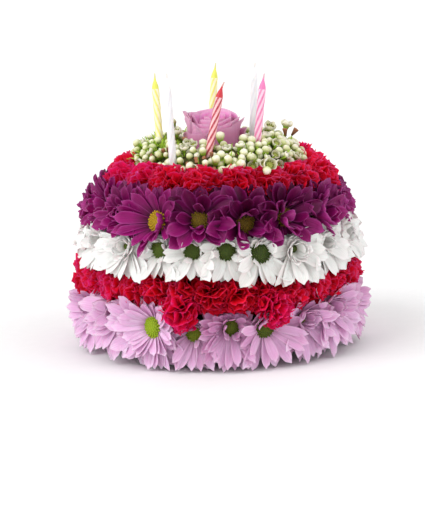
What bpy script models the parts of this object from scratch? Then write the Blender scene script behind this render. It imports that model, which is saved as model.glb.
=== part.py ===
"""Birthday cake made of fresh flowers, with candles.

A round block of wet florist's foam carries five rows of flower heads, one above the other: lavender
daisies, crimson carnations, white daisies, purple daisies and a crown of crimson carnations. Waxflower
sprigs fill the top round one rose, and six candles stand among them in sockets in the foam.

Metres, +Z up. The origin is the centre of the foam's flat underside. Azimuth 0 is the front, towards -Y,
and grows towards +X. A section is given as (radius from the cake's axis, height) pairs.
"""

import math
from dataclasses import dataclass

import bmesh
import bpy
from mathutils import Matrix, Vector

# Clear space left between neighbours that touch.
GAP = 0.0003

# The foam block, with its upper edge pared off.
FOAM_RADIUS = 0.064
FOAM_HEIGHT = 0.118
FOAM_BEVEL = 0.012
FOAM_SIDES = 40

# Borders between the rows, each as its height at the foam and its fall for each metre outwards from there:
# the petals of a row hang a little over the row below it.
FLOOR = (0.0004, 0.0)
LAVENDER_TOP = (0.0420, 0.16)
LOWER_CARNATION_TOP = (0.0650, 0.15)
WHITE_TOP = (0.0915, 0.16)
PURPLE_TOP = (0.1085, -0.50)
PURPLE_CROWN = 0.1175
BORDER_GAP = 0.0006

# Heads stand this much higher or lower, and tilt this many degrees more or less, along a row.
HEIGHT_SWAY = 0.0012
TILT_SWAY = 4.0

# Petals: where a blunt tip's two corners stand between two notches, how deep the notches and pleats are,
# and how far a petal pressed by its neighbours folds forward, in degrees, before it is shortened.
TIP_CORNERS = (0.27, 0.73)
NOTCH_SHARE = 0.76
PLEAT = 0.0020
FOLDS = (0.0, 8.0, 16.0, 24.0)
SHORTEN = 0.97

# The disc's dome, and the most of the way to a notch that the disc reaches.
DISC_RISE = 0.0015
DISC_SHARE = 0.60

# The two rings of carnations.
LOWER_CARNATIONS = 24
TOP_CARNATIONS = 17
COLUMNS_PER_HEAD = 4
HEAD_BULGE = 0.0065
RUFFLE = 0.0014

# Waxflower sprigs round the rose.
MOUND_COLUMNS = 48
BUD_RELIEF = 0.0024

# The rose.
ROSE_CENTRE = (-0.0015, 0.0010)
ROSE_SEGMENTS = 30
ROSE_PETALS = 5

# Candles: a straight body with a coned top and a waxed wick, pushed into the foam.
CANDLE_RADIUS = 0.0029
CANDLE_BODY = 0.0740
WHITE_CANDLE_BODY = 0.0780
CONE_HEIGHT = 0.0045
WICK_RADIUS = 0.0006
WICK_HEIGHT = 0.0045
CANDLE_SIDES = 12
SOCKET_CLEARANCE = 0.0004
BORE_LENGTH = 0.052


@dataclass(frozen=True)
class DaisyRow:
    """One row of daisy heads. phase is the azimuth step of the first head in degrees, and crowding how much
    closer the heads stand at the front than at the back. The row is fullest at the height belly, where
    petals reach the radius rim, and draws in by these shares of the height above and below it."""

    name: str
    colour: tuple
    count: int
    phase: float
    crowding: float
    radius: float
    height: float
    tilt: float
    petals: int
    disc_radius: float
    petal_reach: float
    cup: float
    rim: float
    belly: float
    above: float
    below: float


LAVENDER = DaisyRow(
    name="lavender_daisy",
    colour=(0.72, 0.42, 0.62),
    count=16,
    phase=4.2,
    crowding=0.28,
    radius=0.0880,
    height=0.0275,
    tilt=0.0,
    petals=12,
    disc_radius=0.0060,
    petal_reach=0.0310,
    cup=24.0,
    rim=0.1035,
    belly=0.0200,
    above=0.10,
    below=0.42,
)
WHITE = DaisyRow(
    name="white_daisy",
    colour=(0.90, 0.89, 0.86),
    count=18,
    phase=4.7,
    crowding=0.32,
    radius=0.0885,
    height=0.0785,
    tilt=7.0,
    petals=12,
    disc_radius=0.0055,
    petal_reach=0.0290,
    cup=24.0,
    rim=0.1030,
    belly=0.0720,
    above=0.10,
    below=0.10,
)
PURPLE = DaisyRow(
    name="purple_daisy",
    colour=(0.22, 0.02, 0.15),
    count=15,
    phase=13.6,
    crowding=0.225,
    radius=0.0840,
    height=0.1010,
    tilt=28.0,
    petals=12,
    disc_radius=0.0055,
    petal_reach=0.0290,
    cup=18.0,
    rim=0.0980,
    belly=0.0960,
    above=0.55,
    below=0.20,
)


@dataclass(frozen=True)
class Candle:
    """A candle: where its axis meets the foam's top, how far its tip leans to the right in degrees, how deep
    its foot is in the foam, and the length of its body."""

    name: str
    colour: tuple
    foot: tuple
    lean: float
    depth: float
    body: float


CANDLES = (
    Candle("candle_yellow_left", (0.90, 0.80, 0.25), (-0.0380, -0.0020), -2.6, 0.0080, CANDLE_BODY),
    Candle("candle_white_left", (0.90, 0.90, 0.88), (-0.0282, -0.0450), -2.2, 0.0090, WHITE_CANDLE_BODY),
    Candle("candle_yellow_back", (0.90, 0.80, 0.25), (-0.0055, 0.0330), 5.2, 0.0060, CANDLE_BODY),
    Candle("candle_red_front", (0.75, 0.08, 0.10), (-0.0101, -0.0450), 13.8, 0.0105, CANDLE_BODY),
    Candle("candle_pink_right", (0.90, 0.35, 0.60), (0.0253, -0.0250), 6.6, 0.0085, CANDLE_BODY),
    Candle("candle_white_right", (0.90, 0.90, 0.88), (0.0256, 0.0250), 2.2, 0.0080, WHITE_CANDLE_BODY),
)


def clear_scene():
    for obj in list(bpy.data.objects):
        bpy.data.objects.remove(obj, do_unlink=True)


def collection(name):
    made = bpy.data.collections.new(name)
    bpy.context.scene.collection.children.link(made)
    return made


def principled(name, colour, roughness=0.6):
    material = bpy.data.materials.new(name)
    material.use_nodes = True
    shader = material.node_tree.nodes["Principled BSDF"]
    shader.inputs["Base Color"].default_value = (*colour, 1.0)
    shader.inputs["Roughness"].default_value = roughness
    shader.inputs["Metallic"].default_value = 0.0
    return material


def add_object(name, mesh, material):
    obj = bpy.data.objects.new(name, mesh)
    PARTS.objects.link(obj)
    mesh.materials.append(material)
    return obj


def add_cutter(name, mesh):
    obj = bpy.data.objects.new(name, mesh)
    CUTTERS.objects.link(obj)
    obj.hide_render = True
    obj.display_type = "WIRE"
    return obj


def mesh_of(name, bm):
    mesh = bpy.data.meshes.new(name)
    bm.to_mesh(mesh)
    bm.free()
    return mesh


def cut(obj, cutter):
    modifier = obj.modifiers.new(f"cut {cutter.name}", "BOOLEAN")
    modifier.operation = "DIFFERENCE"
    modifier.object = cutter


def turned(name, profile, sides, material):
    """A closed turned solid. The profile runs from the axis at the top, down the outside, to the axis."""
    mesh = bpy.data.meshes.new(name)
    points = [(radius, 0.0, height) for radius, height in profile]
    mesh.from_pydata(points, [(i, i + 1) for i in range(len(points) - 1)], [])
    obj = add_object(name, mesh, material)
    screw = obj.modifiers.new("turn", "SCREW")
    screw.axis = "Z"
    screw.angle = math.tau
    screw.steps = sides
    screw.render_steps = sides
    screw.use_merge_vertices = True
    screw.merge_threshold = 0.00001
    return obj


def uneven(*keys):
    """A value from -1 to 1 that looks random from one set of whole numbers to the next."""
    seed = sum(key * factor for key, factor in zip(keys, (12.9898, 78.233, 37.719)))
    return 2.0 * ((math.sin(seed) * 43758.5453) % 1.0) - 1.0


def at(radius, azimuth, height):
    return Vector((radius * math.sin(azimuth), -radius * math.cos(azimuth), height))


def border(line, radius):
    height, fall = line
    return height - fall * (radius - FOAM_RADIUS)


def foam_block():
    profile = (
        (0.0, FOAM_HEIGHT),
        (FOAM_RADIUS - FOAM_BEVEL, FOAM_HEIGHT),
        (FOAM_RADIUS, FOAM_HEIGHT - FOAM_BEVEL),
        (FOAM_RADIUS, 0.0),
        (0.0, 0.0),
    )
    return turned("foam_block", profile, FOAM_SIDES, principled("florist_foam", (0.05, 0.12, 0.05), 0.95))


def azimuths(count, phase, crowding):
    """Head azimuths in radians, closer together at the front than at the back."""
    turns = [math.radians(phase) + math.tau * i / count for i in range(count)]
    return [turn - crowding * math.sin(turn) for turn in turns]


def in_cell(point, row, low, high, sides):
    """Whether a point is in a head's own space: outside the foam, within the rim, between the row's two
    borders and between the two upright planes that part it from its neighbours."""
    radius = math.hypot(point.x, point.y)
    rim = row.rim - row.above * max(0.0, point.z - row.belly) - row.below * max(0.0, row.belly - point.z)
    if not FOAM_RADIUS + GAP <= radius <= rim:
        return False
    if not border(low, radius) + BORDER_GAP <= point.z <= min(border(high, radius), PURPLE_CROWN) - BORDER_GAP:
        return False
    before, after = sides
    from_before = point.x * math.cos(before) + point.y * math.sin(before)
    from_after = point.x * math.cos(after) + point.y * math.sin(after)
    return from_before >= GAP / 2 and from_after <= -GAP / 2


def daisy_head(name, row, low, high, sides, azimuth, number):
    """A head: a domed disc, and pleated petals with blunt tips that rise round it like a shallow cup. Its
    back narrows to the stem. Petals fold forward and shorten until they are in the head's own space."""
    tilt = math.radians(row.tilt + TILT_SWAY * math.sin(2.3 * number))
    height = row.height + HEIGHT_SWAY * math.cos(1.7 * number)
    centre = at(row.radius, azimuth, height)
    outward = at(1.0, azimuth, 0.0)
    across = Vector((math.cos(azimuth), math.sin(azimuth), 0.0))
    facing = outward * math.cos(tilt) + Vector((0.0, 0.0, math.sin(tilt)))
    upward = facing.cross(across)

    def spoke(angle):
        return across * math.cos(angle) + upward * math.sin(angle)

    def petal_point(angle, reach, lift=0.0):
        for fold in FOLDS:
            bend = math.radians(row.cup + fold)
            out = spoke(angle) * math.cos(bend) + facing * math.sin(bend)
            point = centre + out * reach + facing * lift
            if in_cell(point, row, low, high, sides):
                return point
        return petal_point(angle, reach * SHORTEN, lift)

    bm = bmesh.new()
    step = math.tau / row.petals
    apex = bm.verts.new(centre + facing * DISC_RISE)
    stem = bm.verts.new(centre - facing * (row.radius - FOAM_RADIUS - 0.0012) / math.cos(tilt))
    disc, notch, first, second = [], [], [], []
    for i in range(row.petals):
        angle = 1.1 * number + i * step
        reach = row.petal_reach * (1.0 + 0.05 * uneven(number, i))
        first.append(bm.verts.new(petal_point(angle + TIP_CORNERS[0] * step, reach)))
        second.append(bm.verts.new(petal_point(angle + TIP_CORNERS[1] * step, reach)))
    for i in range(row.petals):
        angle = 1.1 * number + i * step
        beside = min((tip.co - centre).length for tip in (second[i - 1], first[i]))
        valley = petal_point(angle, beside * NOTCH_SHARE, -PLEAT)
        disc_radius = min(row.disc_radius, DISC_SHARE * (valley - centre).dot(spoke(angle)))
        notch.append(bm.verts.new(valley))
        disc.append(bm.verts.new(centre + spoke(angle) * disc_radius))
    for i in range(row.petals):
        after = (i + 1) % row.petals
        for corners in (
            (apex, disc[i], disc[after]),
            (disc[i], notch[i], first[i]),
            (disc[i], first[i], second[i]),
            (disc[i], second[i], disc[after]),
            (disc[after], second[i], notch[after]),
            (stem, first[i], notch[i]),
            (stem, second[i], first[i]),
            (stem, notch[after], second[i]),
        ):
            bm.faces.new(corners)
    return mesh_of(name, bm)


def daisy_row(row, low, high):
    """One object for each head of the row."""
    material = principled(row.name, row.colour)
    turns = azimuths(row.count, row.phase, row.crowding)
    for i, azimuth in enumerate(turns):
        before = turns[i - 1] - (math.tau if i == 0 else 0.0)
        after = turns[(i + 1) % row.count] + (math.tau if i == row.count - 1 else 0.0)
        sides = ((before + azimuth) / 2, (azimuth + after) / 2)
        name = f"{row.name}_{i + 1:02d}"
        add_object(name, daisy_head(name, row, low, high, sides, azimuth, i), material)


def lofted_ring(columns):
    """A closed ring through its cross-sections, in order round the Z axis. Each is a loop of points that
    runs outwards at the bottom and back at the top."""
    bm = bmesh.new()
    loops = [[bm.verts.new(point) for point in column] for column in columns]
    for here, there in zip(loops, loops[1:] + loops[:1]):
        for k in range(len(here)):
            bm.faces.new((there[k - 1], there[k], here[k], here[k - 1]))
    return bm


def carnation_ring(name, section, heads, rise, material):
    """A ring of carnations that crowd into one ruffled band. The third number of a section's point is how
    freely it moves: it bulges outwards at each head, sinks in between and ruffles everywhere. rise is how
    much a point climbs for each metre that it moves out."""
    count = heads * COLUMNS_PER_HEAD
    columns = []
    for c in range(count):
        place = (c % COLUMNS_PER_HEAD) / COLUMNS_PER_HEAD * 2.0 - 1.0
        bulge = HEAD_BULGE * (math.sqrt(1.0 - place * place) - 0.7)
        column = []
        for k, (radius, height, free) in enumerate(section):
            out = free * (bulge + RUFFLE * uneven(c, k))
            column.append(at(radius + out, math.tau * c / count, height + out * rise))
        columns.append(column)
    return add_object(name, mesh_of(name, lofted_ring(columns)), material)


def lower_carnations(material):
    """The band between the lavender and the white daisies, with a full, bulging front."""

    def low(radius):
        return border(LAVENDER_TOP, radius) + BORDER_GAP

    def high(radius):
        return border(LOWER_CARNATION_TOP, radius) - BORDER_GAP

    shoulder, front = 0.0890, 0.0970
    section = (
        (FOAM_RADIUS + GAP, low(FOAM_RADIUS), 0.0),
        (shoulder, low(shoulder), 0.0),
        (front - 0.0015, low(front) + 0.0020, 0.7),
        (front, low(front) + 0.0080, 1.0),
        (front, low(front) + 0.0150, 1.0),
        (front - 0.0020, high(front) - 0.0020, 0.7),
        (shoulder, high(shoulder), 0.0),
        (FOAM_RADIUS + GAP, high(FOAM_RADIUS), 0.0),
    )
    return carnation_ring("lower_carnations", section, LOWER_CARNATIONS, -0.17, material)


def top_carnations(material):
    """The crown: it lies on the foam's pared edge and leans out over the purple daisies."""
    edge = FOAM_RADIUS + GAP

    def low(radius):
        return border(PURPLE_TOP, radius) + BORDER_GAP

    section = (
        (0.0500, FOAM_HEIGHT + GAP, 0.0),
        (FOAM_RADIUS - FOAM_BEVEL + GAP, FOAM_HEIGHT + GAP, 0.0),
        (edge, low(edge), 0.0),
        (0.0790, low(0.0790), 0.0),
        (0.0795, 0.1215, 0.6),
        (0.0760, 0.1260, 0.9),
        (0.0700, 0.1295, 0.9),
        (0.0625, 0.1305, 0.5),
        (0.0570, 0.1265, 0.0),
    )
    return carnation_ring("top_carnations", section, TOP_CARNATIONS, 0.6, material)


def waxflower_sprigs():
    """The mound of budded sprigs between the rose and the crown, its top broken up by buds."""
    section = (
        (0.0140, FOAM_HEIGHT + GAP),
        (0.0494, FOAM_HEIGHT + GAP),
        (0.0562, 0.1270),
        (0.0600, 0.1345),
        (0.0545, 0.1400),
        (0.0470, 0.1440),
        (0.0380, 0.1455),
        (0.0290, 0.1430),
        (0.0240, 0.1320),
    )
    columns = []
    for c in range(MOUND_COLUMNS):
        azimuth = math.tau * c / MOUND_COLUMNS
        columns.append(
            [
                at(radius, azimuth, height + (BUD_RELIEF * uneven(c, k) if height > 0.1335 else 0.0))
                for k, (radius, height) in enumerate(section)
            ]
        )
    mesh = mesh_of("waxflower_sprigs", lofted_ring(columns))
    return add_object("waxflower_sprigs", mesh, principled("waxflower", (0.62, 0.64, 0.38)))


def rose():
    """A full-blown rose on its calyx: an outer cup whose petals flare to points, an inner whorl and a bud.
    Each ring is (radius, height above the foam, how far the petal tips rise and flare, turn)."""
    rings = (
        (0.0060, 0.0000, 0.0000, 0.0),
        (0.0130, 0.0040, 0.0000, 0.0),
        (0.0185, 0.0120, 0.0000, 0.0),
        (0.0212, 0.0230, 0.0006, 0.0),
        (0.0228, 0.0360, 0.0045, 0.0),
        (0.0195, 0.0345, 0.0025, 0.0),
        (0.0160, 0.0390, 0.0030, 0.6),
        (0.0120, 0.0375, 0.0020, 0.6),
        (0.0080, 0.0425, 0.0015, 1.2),
    )
    bm = bmesh.new()
    loops = []
    for radius, height, flare, turn in rings:
        loop = []
        for k in range(ROSE_SEGMENTS):
            angle = math.tau * k / ROSE_SEGMENTS
            point = max(0.0, math.cos(ROSE_PETALS * (angle + turn))) ** 2
            out = radius + flare * 0.6 * point
            loop.append(bm.verts.new((out * math.cos(angle), out * math.sin(angle), height + flare * point)))
        loops.append(loop)
    for low, high in zip(loops, loops[1:]):
        for k in range(ROSE_SEGMENTS):
            after = (k + 1) % ROSE_SEGMENTS
            bm.faces.new((low[k], low[after], high[after], high[k]))
    bm.faces.new(list(reversed(loops[0])))
    bud = bm.verts.new((0.0, 0.0, rings[-1][1] + 0.0020))
    for k in range(ROSE_SEGMENTS):
        bm.faces.new((loops[-1][k], loops[-1][(k + 1) % ROSE_SEGMENTS], bud))
    obj = add_object("rose", mesh_of("rose", bm), principled("rose_petal", (0.55, 0.26, 0.42)))
    obj.location = (*ROSE_CENTRE, FOAM_HEIGHT + GAP)
    return obj


def candle_place(candle):
    """The candle's foot at the bottom of its socket, and its turn."""
    turn = Matrix.Rotation(math.radians(candle.lean), 4, "Y")
    foot = Vector((*candle.foot, FOAM_HEIGHT)) - turn @ Vector((0.0, 0.0, candle.depth))
    return Matrix.Translation(foot) @ turn


def candle_body(candle):
    profile = (
        (0.0, candle.body + WICK_HEIGHT),
        (WICK_RADIUS, candle.body + WICK_HEIGHT),
        (WICK_RADIUS * 1.3, candle.body),
        (CANDLE_RADIUS * 0.85, candle.body - CONE_HEIGHT),
        (CANDLE_RADIUS, candle.body - CONE_HEIGHT * 1.4),
        (CANDLE_RADIUS, 0.0),
        (0.0, 0.0),
    )
    obj = turned(candle.name, profile, CANDLE_SIDES, principled(candle.name, candle.colour, 0.4))
    obj.matrix_world = candle_place(candle)
    return obj


def candle_bores():
    """One cutter with a bore for each candle, from under its foot to above the mound."""
    bm = bmesh.new()
    middle = Matrix.Translation((0.0, 0.0, BORE_LENGTH / 2 - SOCKET_CLEARANCE))
    for candle in CANDLES:
        bmesh.ops.create_cone(
            bm,
            cap_ends=True,
            segments=CANDLE_SIDES,
            radius1=CANDLE_RADIUS + SOCKET_CLEARANCE,
            radius2=CANDLE_RADIUS + SOCKET_CLEARANCE,
            depth=BORE_LENGTH,
            matrix=candle_place(candle) @ middle,
        )
    return add_cutter("candle_bores", mesh_of("candle_bores", bm))


clear_scene()
PARTS = collection("flower_cake")
CUTTERS = collection("cutters")

bores = candle_bores()
cut(foam_block(), bores)

daisy_row(LAVENDER, FLOOR, LAVENDER_TOP)
daisy_row(WHITE, LOWER_CARNATION_TOP, WHITE_TOP)
daisy_row(PURPLE, WHITE_TOP, PURPLE_TOP)

crimson = principled("carnation_petal", (0.60, 0.01, 0.06))
lower_carnations(crimson)
cut(top_carnations(crimson), bores)

cut(waxflower_sprigs(), bores)
rose()
for candle in CANDLES:
    candle_body(candle)
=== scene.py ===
"""Birthday cake made of fresh flowers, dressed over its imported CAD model. Metres, +Z up, front towards -Y."""

import math

import bpy
import numpy as np
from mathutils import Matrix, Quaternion, Vector


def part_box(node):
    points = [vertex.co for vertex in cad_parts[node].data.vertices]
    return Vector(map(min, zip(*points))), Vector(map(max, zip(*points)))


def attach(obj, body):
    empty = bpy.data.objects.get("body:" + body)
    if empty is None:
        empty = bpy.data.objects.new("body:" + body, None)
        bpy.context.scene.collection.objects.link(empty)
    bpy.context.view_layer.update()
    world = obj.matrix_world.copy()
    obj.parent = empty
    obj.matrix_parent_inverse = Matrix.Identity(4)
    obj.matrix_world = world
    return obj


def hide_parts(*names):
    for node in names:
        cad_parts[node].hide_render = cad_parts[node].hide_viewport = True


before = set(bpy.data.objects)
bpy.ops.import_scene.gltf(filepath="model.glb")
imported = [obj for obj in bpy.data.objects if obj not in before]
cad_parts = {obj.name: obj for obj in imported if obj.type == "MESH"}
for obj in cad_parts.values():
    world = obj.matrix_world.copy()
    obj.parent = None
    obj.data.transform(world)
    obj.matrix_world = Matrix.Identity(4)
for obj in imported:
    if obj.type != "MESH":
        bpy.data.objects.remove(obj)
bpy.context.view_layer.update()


# Florist's foam: a dark green block of brittle, open-celled foam, cut round with a blade and soaked. The flowers
# hide all but slits of it. The CAD block is right as it is, and takes a finish of pores and wet patches.


class Finish:
    """A finish whose nodes all lead into one shader."""

    def __init__(self, name, roughness):
        self.material = bpy.data.materials.new(name)
        self.material.use_nodes = True
        self.nodes = self.material.node_tree.nodes
        self.shader = self.nodes["Principled BSDF"]
        self.fixed(Roughness=roughness)

    def fixed(self, **values):
        for socket, value in values.items():
            self.shader.inputs[socket.replace("_", " ")].default_value = value

    def link(self, source, target):
        self.material.node_tree.links.new(source, target)

    def node(self, kind, settings=None, **inputs):
        """A node with its settings. An input is a number, a colour or another node's output."""
        made = self.nodes.new(kind)
        for key, value in (settings or {}).items():
            setattr(made, key, value)
        for key, value in inputs.items():
            socket = made.inputs[int(key[1:])] if key[1:].isdigit() else made.inputs[key.replace("_", " ")]
            if isinstance(value, bpy.types.NodeSocket):
                self.link(value, socket)
            else:
                socket.default_value = value
        return made.outputs[0]

    def math(self, operation, first, second):
        return self.node("ShaderNodeMath", {"operation": operation}, i0=first, i1=second)

    def ramp(self, source, *stops):
        """Colours, or greys given as single numbers, at places along a value."""
        made = self.nodes.new("ShaderNodeValToRGB")
        self.link(source, made.inputs[0])
        elements = made.color_ramp.elements
        while len(elements) < len(stops):
            elements.new(0.5)
        for element, (place, colour) in zip(elements, stops):
            element.position = place
            element.color = (*colour, 1.0) if isinstance(colour, tuple) else (colour, colour, colour, 1.0)
        return made.outputs[0]

    def mixed(self, share, first, second, blend="MIX"):
        made = self.nodes.new("ShaderNodeMix")
        made.data_type = "RGBA"
        made.blend_type = blend
        for socket, value in ((0, share), (6, first), (7, second)):
            if isinstance(value, bpy.types.NodeSocket):
                self.link(value, made.inputs[socket])
            else:
                made.inputs[socket].default_value = (*value, 1.0) if isinstance(value, tuple) else value
        return made.outputs[2]

    def tinted(self, colour, tint, source, *stops):
        """A colour mixed with a tint, by a ramp of shares along a value."""
        return self.mixed(self.ramp(source, *stops), colour, tint)

    def bumped(self, height, strength, depth):
        """Relief from a height: strength from 0 to 1, depth in metres."""
        normal = self.node("ShaderNodeBump", None, Strength=strength, Distance=depth, Height=height)
        self.link(normal, self.shader.inputs["Normal"])

    def coloured(self, colour, roughness=None):
        self.link(colour, self.shader.inputs["Base Color"])
        if roughness is not None:
            self.link(roughness, self.shader.inputs["Roughness"])
        return self.material

    def attribute(self, name, output):
        made = self.nodes.new("ShaderNodeAttribute")
        made.attribute_name = name
        return made.outputs[output]

    def object_place(self):
        return self.nodes.new("ShaderNodeTexCoord").outputs["Object"]

    def petal_place(self):
        """Each point's place on its petal: whole, and as across, along and tone."""
        place = self.attribute("petal", "Vector")
        self.node("ShaderNodeSeparateXYZ", None, Vector=place)
        return place, *self.nodes[-1].outputs

    def mottle(self, scale, detail):
        """Cloudy patches through the whole piece."""
        return self.node("ShaderNodeTexNoise", None, Vector=self.object_place(), Scale=scale, Detail=detail)

    def streaks(self, place, stretch, scale):
        """Fine streaks drawn out along a petal."""
        drawn = self.node("ShaderNodeMapping", {"vector_type": "POINT"}, Vector=place, Scale=stretch)
        return self.node("ShaderNodeTexNoise", None, Vector=drawn, Scale=scale, Detail=4.0, Roughness=0.6)


def srgb(red, green, blue):
    """A colour from its 0 to 255 values on a screen, as the shader takes it."""
    shares = (value / 255 for value in (red, green, blue))
    return tuple(share / 12.92 if share < 0.0404 else ((share + 0.055) / 1.055) ** 2.4 for share in shares)


def foam_finish():
    foam = Finish("wet_foam", 0.9)
    place = foam.object_place()
    pores = foam.node("ShaderNodeTexVoronoi", None, Vector=place, Scale=1400.0)
    patches = foam.node("ShaderNodeTexNoise", {"normalize": True}, Vector=place, Scale=60.0, Detail=3.0)
    tint = foam.ramp(patches, (0.3, srgb(24, 44, 22)), (0.7, srgb(44, 70, 36)))
    dark = foam.ramp(pores, (0.0, 0.45), (0.5, 1.0))
    foam.bumped(pores, 0.6, 0.0004)
    return foam.coloured(foam.mixed(1.0, tint, dark, "MULTIPLY"), foam.ramp(patches, (0.3, 0.95), (0.7, 0.7)))


foam_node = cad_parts["foam_block"]
foam_node.data.materials.clear()
foam_node.data.materials.append(foam_finish())


# Lavender daisies: sixteen spray chrysanthemum heads stand shoulder to shoulder round the foot of the cake. Each
# is a green button disc ringed by rounds of grooved, pale violet petals on a green calyx. The stem is cut
# short and pushed into the foam. Petals that meet a neighbour, the plate or the row above fold forward.

FOAM_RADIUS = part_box("foam_block")[1].x
GOLDEN_ANGLE = math.pi * (3.0 - math.sqrt(5.0))


class Gathered:
    """What one piece is gathered from: points, faces, and for each point its place on its petal (across,
    along, tone of the whole petal) and how far it lies on the underside."""

    def __init__(self):
        self.points, self.places, self.under, self.faces, self.finishes = [], [], [], [], []
        self.count = 0

    def add(self, points, places, under, faces, finish):
        self.points.append(points)
        self.places.append(places)
        self.under.append(under)
        for group in faces:
            self.faces += (group + self.count).tolist()
            self.finishes += [finish] * len(group)
        self.count += len(points)

    def piece(self, name, materials, replaced):
        """The finished piece, riding on the cake's body in place of its CAD solids."""
        mesh = bpy.data.meshes.new(name)
        points = np.concatenate(self.points)
        mesh.from_pydata(points.tolist(), [], self.faces)
        mesh.attributes.new("petal", "FLOAT_VECTOR", "POINT").data.foreach_set(
            "vector", np.concatenate(self.places).astype(np.float32).ravel()
        )
        mesh.attributes.new("under", "FLOAT", "POINT").data.foreach_set(
            "value", np.concatenate(self.under).astype(np.float32)
        )
        for material in materials:
            mesh.materials.append(material)
        mesh.polygons.foreach_set("material_index", self.finishes)
        mesh.shade_smooth()
        mesh.set_sharp_from_angle(angle=math.radians(75))
        made = bpy.data.objects.new(name, mesh)
        bpy.context.scene.collection.objects.link(made)
        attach(made, "root")
        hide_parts(*replaced)


def thin_shells(gathered, middle, across, along, tone, thickness, finish):
    """Closed thin blades round their middle surfaces, which come as an array (blades, along, across, 3). Each
    is thickest inside and comes to a fine edge all round."""
    count, rows, columns = middle.shape[:3]
    normal = np.cross(np.gradient(middle, axis=1), np.gradient(middle, axis=2))
    normal /= np.linalg.norm(normal, axis=-1, keepdims=True) + 1e-12
    body = np.zeros((rows, columns, 1))
    body[1:-1, 1:-1] = thickness / 2
    front, back = middle + normal * body, middle - normal * body
    top = np.arange(count * rows * columns).reshape(count, rows, columns)
    below = top.copy()
    below[:, 1:-1, 1:-1] = top.size + np.arange(count * (rows - 2) * (columns - 2)).reshape(
        count, rows - 2, columns - 2
    )
    places = np.stack(np.broadcast_arrays(across, along, tone), axis=-1)
    places = np.broadcast_to(places, (count, rows, columns, 3))
    edge = np.full((count, rows, columns), 0.5)
    edge[:, 1:-1, 1:-1] = 0.0
    points = np.concatenate([front.reshape(-1, 3), back[:, 1:-1, 1:-1].reshape(-1, 3)])
    marks = np.concatenate([places.reshape(-1, 3), places[:, 1:-1, 1:-1].reshape(-1, 3)])
    under = np.concatenate([edge.ravel(), np.ones(count * (rows - 2) * (columns - 2))])
    faces = []
    for index, order in ((top, (0, 1, 2, 3)), (below, (3, 2, 1, 0))):
        corners = (index[:, :-1, :-1], index[:, 1:, :-1], index[:, 1:, 1:], index[:, :-1, 1:])
        faces.append(np.stack([corners[k] for k in order], axis=-1).reshape(-1, 4))
    gathered.add(points, marks, under, faces, finish)


def blade_places(rows, columns):
    """Places along a blade and across it, as thin_shells takes them."""
    return np.linspace(0.0, 1.0, rows)[None, :, None], np.linspace(-1.0, 1.0, columns)[None, None, :]


def turned_pair(angle, side, other):
    """Two directions at right angles, turned by an angle from side towards other."""
    cosine, sine = np.cos(angle)[..., None], np.sin(angle)[..., None]
    return cosine * side + sine * other, cosine * other - sine * side


def walls_between(index):
    """Faces that join each ring of points to the next."""
    after = np.roll(index, -1, axis=1)
    return np.stack([index[:-1], after[:-1], after[1:], index[1:]], axis=-1).reshape(-1, 4)


def turned_solid(gathered, foot, axes, profile, sides, tone, finish, lobes=0.0, twist=0.0):
    """A closed turned form about an axis, from a profile of (height, radius) that starts and ends at 0."""
    side, other, axis = axes
    heights, radii = np.array(profile).T
    angle = np.linspace(0.0, math.tau, sides, endpoint=False)[None, :] + twist * heights[1:-1, None]
    reach = radii[1:-1, None] * (1.0 + lobes * np.cos(sides / 2 * (angle - twist * heights[1:-1, None])))
    ring = foot + turned_pair(angle, side, other)[0] * reach[..., None] + axis * heights[1:-1, None, None]
    points = np.concatenate([ring.reshape(-1, 3), [foot + axis * heights[0], foot + axis * heights[-1]]])
    rings = len(heights) - 2
    index = np.arange(rings * sides).reshape(rings, sides)
    after = np.roll(index, -1, axis=1)
    first, last = rings * sides, rings * sides + 1
    low = np.stack([after[0], index[0], np.full(sides, first)], axis=-1)
    high = np.stack([index[-1], after[-1], np.full(sides, last)], axis=-1)
    along = np.concatenate([np.repeat(np.linspace(0, 1, rings), sides), [0.0, 1.0]])
    turn = np.concatenate([np.tile(np.linspace(-1, 1, sides), rings), [0.0, 0.0]])
    places = np.stack([turn, along, np.full(len(points), tone)], axis=-1)
    gathered.add(points, places, np.zeros(len(points)), [walls_between(index), low, high], finish)


def unit(vector):
    return vector / np.linalg.norm(vector)


def axes_about(axis):
    """Two sides and the axis, as one right-handed set. The first side is level."""
    side = unit(np.cross((0.0, 0.0, 1.0), axis)) if abs(axis[2]) < 0.98 else np.array((1.0, 0.0, 0.0))
    return side, np.cross(axis, side), axis


def at(radius, azimuth, height):
    """A point of the cake, its azimuth in degrees from the front."""
    turn = math.radians(azimuth)
    return np.array((radius * math.sin(turn), -radius * math.cos(turn), height))


def azimuths(count, phase, crowding):
    """Head azimuths in degrees, closer together at the front than at the back, as the CAD rows have them."""
    turns = [math.radians(phase) + math.tau * i / count for i in range(count)]
    return [math.degrees((turn - crowding * math.sin(turn) + math.pi) % math.tau - math.pi) for turn in turns]


DAISY_OUTLINE = ((0.0, 0.25, 0.55, 0.78, 0.90, 0.96, 1.0), (0.42, 0.78, 1.0, 0.97, 0.80, 0.60, 0.30))


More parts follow.
